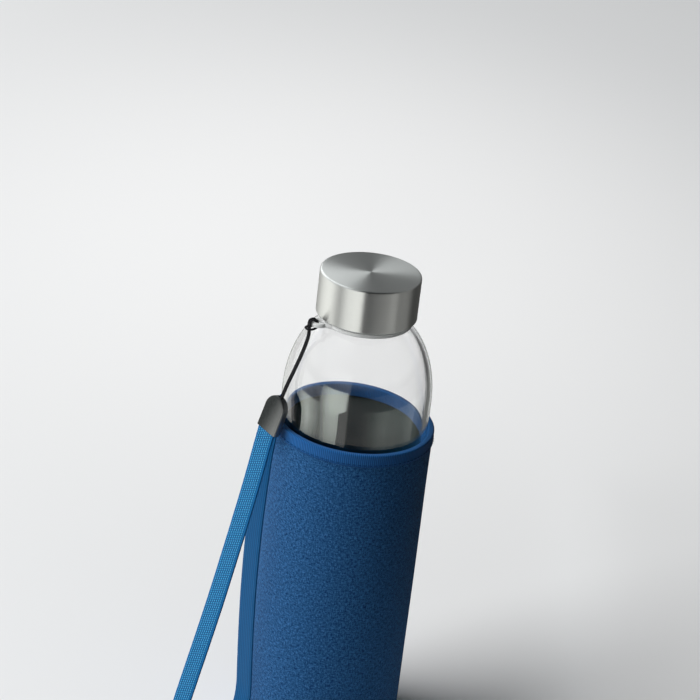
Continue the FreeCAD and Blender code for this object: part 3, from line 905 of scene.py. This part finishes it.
# Painted shade: the dips between the weave's crossings are painted darker.
cover_finish.feed("Base Color", cover_finish.mix((1.0 - weave) * 0.3, heather_colour,
                                                 (0.001, 0.012, 0.045)))
cover_finish.bump(weave * 0.6 + heather * 0.5, 0.00022)
cover_finish.on(cover)

LINING_COURSE = 0.0008
LINING_WALE = 0.0006
lining_finish = Finish("knitted_charcoal_lining", roughness=0.9, specular_ior_level=0.03)
u, v, _ = lining_finish.coordinates("UV")
course = (v * (2 * math.pi / LINING_COURSE)).wave()
wale = (u * (2 * math.pi / LINING_WALE)).wave()
loops = course * wale
# Painted shade: the knit is painted darker between its loops.
lining_finish.feed("Base Color", lining_finish.mix(loops, (0.0012, 0.0110, 0.0115),
                                                   (0.0022, 0.0145, 0.0150)))
lining_finish.bump(loops, 0.00003)
lining_finish.on(lining)

foam_finish = Finish("grey_foam", roughness=0.95)
x, y, z = foam_finish.coordinates("Object")
cells = foam_finish.noise(foam_finish.vector(x * 2500, y * 2500, z * 2500), 2.0)
foam_finish.feed("Base Color", foam_finish.mix(cells, (0.03, 0.03, 0.032),
                                               (0.08, 0.08, 0.085)))
foam_finish.bump(cells, 0.0001)
foam_finish.on(foam)

for piece, node, slot in ((cover, "sleeve_cover", "sleeve_cloth"),
                          (lining, "sleeve_lining", "lining_cloth"),
                          (foam, "sleeve_foam", "sleeve_foam")):
    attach(piece, "sleeve")
    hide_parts(node)


# ---- Top binding -----------------------------------------------------------------------
# Ribbed tape of blue polyester, folded over the sleeve's top edge and sewn through with one
# row of stitches along its lower edge.

binding_low, binding_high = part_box("top_binding")
TAPE = 0.0004
TAPE_RIB = 0.00085
TAPE_EDGE_ROUND = 0.00018
BINDING_BORE = 0.03235


def binding_outline():
    """The tape's section, an upside-down U that closes over the layers of the wall."""
    low, high = binding_low.z, binding_high.z
    out, bore = binding_high.x, BINDING_BORE
    edge = TAPE_EDGE_ROUND
    return outline([(out - TAPE / 2, low, 0), (out, low, edge), (out, high, 0.0007),
                    (bore, high, 0.0007), (bore, low, edge), (bore + TAPE, low, edge),
                    (bore + TAPE, high - TAPE, 0.0002), (out - TAPE, high - TAPE, 0.0002),
                    (out - TAPE, low, edge), (out - TAPE / 2, low, 0)], 0.0004)


binding_profile = binding_outline()
binding_grid, binding_angle = turned(binding_profile, 384)
binding_uv = (np.broadcast_to(binding_angle * binding_high.x, binding_grid.shape[:2]),
              np.broadcast_to(along(binding_profile)[:, None], binding_grid.shape[:2]))
binding = surface("edge_tape", settled(binding_grid), uv=binding_uv)

tape_finish = Finish("ribbed_blue_tape", roughness=0.7, sheen_weight=0.05,
                     specular_ior_level=0.05)
u, v, _ = tape_finish.coordinates("UV")
rib = (u * (2 * math.pi / TAPE_RIB)).wave()
fluff = tape_finish.noise(tape_finish.vector(u * 1500, v * 600), 3.0)
# Painted shade: the grooves between the ribs are painted darker, and so is a band along the tape's
# outer lower edge, where it meets the canvas.
ribs_fluff_and_painted_shade = (rib * 0.7 + fluff * 0.3) * (0.25 + v.clear(0.0001, 0.0008) * 0.75)
tape_finish.feed("Base Color", tape_finish.mix(ribs_fluff_and_painted_shade, (0.004, 0.038, 0.135),
                                               (0.018, 0.120, 0.340)))
tape_finish.bump(ribs_fluff_and_painted_shade, 0.00016)
tape_finish.on(binding)
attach(binding, "sleeve")
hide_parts("top_binding")


# ---- Sewing ----------------------------------------------------------------------------
# Short stitches of dark blue thread: one round through the binding, one round the base,
# and a flat overlocked seam up the back that closes the tube.

def stitches(name, starts, ends, outward, thickness):
    """Many small capsules in one mesh. Each runs from start to end, bulges outward as a sine
    to half its thickness, and has a round section of radius sqrt(1 - (2 x share - 1)^4)."""
    rows = np.linspace(0.0, 1.0, 7)
    turn = np.linspace(0.0, 2 * np.pi, 7)[:-1]
    girth = np.sqrt(np.clip(1 - (2 * rows - 1) ** 4, 0.0, 1.0)) * thickness / 2
    run = ends - starts
    heading = unit(run)
    side = np.cross(heading, outward)
    middle = (starts[:, None] + run[:, None] * rows[:, None]
              + outward[:, None] * (np.sin(np.pi * rows) * thickness / 2)[:, None])
    ring = (side[:, None, None] * np.cos(turn)[:, None]
            + outward[:, None, None] * np.sin(turn)[:, None])
    grid = middle[:, :, None] + ring * girth[:, None, None]
    many, r, c = grid.shape[:3]
    a, b = np.meshgrid(np.arange(r - 1), np.arange(c), indexing="ij")
    quad = np.stack([a * c + b, a * c + (b + 1) % c, (a + 1) * c + (b + 1) % c,
                     (a + 1) * c + b], -1).reshape(-1, 4)
    faces = (quad[None] + np.arange(many)[:, None, None] * r * c).reshape(-1, 4)
    mesh = bpy.data.meshes.new(name)
    mesh.from_pydata(grid.reshape(-1, 3), [], faces)
    return piece_of(name, mesh)


def round_of_stitches(name, radius, height, count, share, thickness):
    """Stitches end to end round the sleeve, each taking a share of its step."""
    angle = np.arange(count) * 2 * np.pi / count
    reach = share * np.pi / count
    starts, ends = [settled(np.stack([radius * np.cos(a), radius * np.sin(a), a * 0 + height],
                                     -1)) for a in (angle - reach, angle + reach)]
    outward = np.stack([np.cos(angle), np.sin(angle), angle * 0], -1)
    return stitches(name, starts, ends, outward, thickness)


binding_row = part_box("binding_stitching")
base_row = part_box("base_stitching")
seam_low, seam_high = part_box("side_seam")
binding_height = (binding_row[0].z + binding_row[1].z) / 2
base_height = (base_row[0].z + base_row[1].z) / 2
THREAD = 0.00036
SEAM_WIDTH = 0.0028
SEAM_PITCH = 0.0014
SEAM_PROUD = 0.00008
binding_stitches = round_of_stitches("binding_stitches", binding_high.x, binding_height, 96,
                                     0.82, THREAD)
base_stitches = round_of_stitches("base_stitches", cover_high.x, base_height, 88, 0.8,
                                  THREAD)


def overlock(name, low, high, width, pitch, radius):
    """Slanted stitches up the back, alternately leaning left and right."""
    height = np.arange(low, high, pitch)
    lean = np.where(np.arange(len(height)) % 2 == 0, 1.0, -1.0)
    x = lean * width / 2
    y = np.sqrt(radius ** 2 - x ** 2)
    starts = np.stack([-x, y, height], -1)
    ends = np.stack([x, y, height + pitch * 0.9], -1)
    outward = np.stack([lean * 0, lean * 0 + 1, lean * 0], -1)
    return stitches(name, starts, ends, outward, THREAD)


seam = overlock("back_seam", seam_low.z, seam_high.z - 0.002, SEAM_WIDTH, SEAM_PITCH,
                cover_high.x + SEAM_PROUD)

thread_finish = Finish("polyester_thread", roughness=0.6, specular_ior_level=0.05)
x, y, z = thread_finish.coordinates("Object")
ply = thread_finish.noise(thread_finish.vector(x * 3000, y * 3000, z * 3000), 1.0)
thread_finish.feed("Base Color", thread_finish.mix(ply, (0.003, 0.024, 0.085),
                                                   (0.008, 0.060, 0.180)))
thread_finish.bump(ply, 0.00005)
for piece, node in ((binding_stitches, "binding_stitching"), (base_stitches, "base_stitching"),
                    (seam, "side_seam")):
    thread_finish.on(piece)
    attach(piece, "sleeve")
    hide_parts(node)


# ---- Sleeve base -----------------------------------------------------------------------
# A round base of the same three layers as the wall, cut to its width and sewn to its lower
# edge. The bottle stands on the knitted layer.

def cloth_disc(name, node, radius):
    """A disc of cloth with its edge rounded to nearly half its thickness."""
    low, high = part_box(node)
    edge = (high.z - low.z) * 0.45
    profile = outline([(0, low.z, 0), (radius, low.z, edge), (radius, high.z, edge),
                       (0, high.z, 0)], 0.002)
    grid, _ = turned(profile, 192)
    return surface(name, grid, uv=(grid[..., 0], grid[..., 1]))


base_lining_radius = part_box("base_lining")[1].x
base_cover = cloth_disc("canvas_base", "base_cover", cover_high.x)
base_foam = cloth_disc("base_padding", "base_foam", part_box("base_foam")[1].x)
base_lining = cloth_disc("base_knit", "base_lining", base_lining_radius)
cover_finish.on(base_cover)
foam_finish.on(base_foam)
lining_finish.on(base_lining)
for piece, node, slot in ((base_cover, "base_cover", "sleeve_cloth"),
                          (base_lining, "base_lining", "lining_cloth"),
                          (base_foam, "base_foam", "sleeve_foam")):
    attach(piece, "sleeve")
    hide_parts(node)
for piece, radius in ((base_cover, cover_high.x), (base_lining, base_lining_radius)):
    2 * radius
    2 * radius
    math.pi * radius ** 2
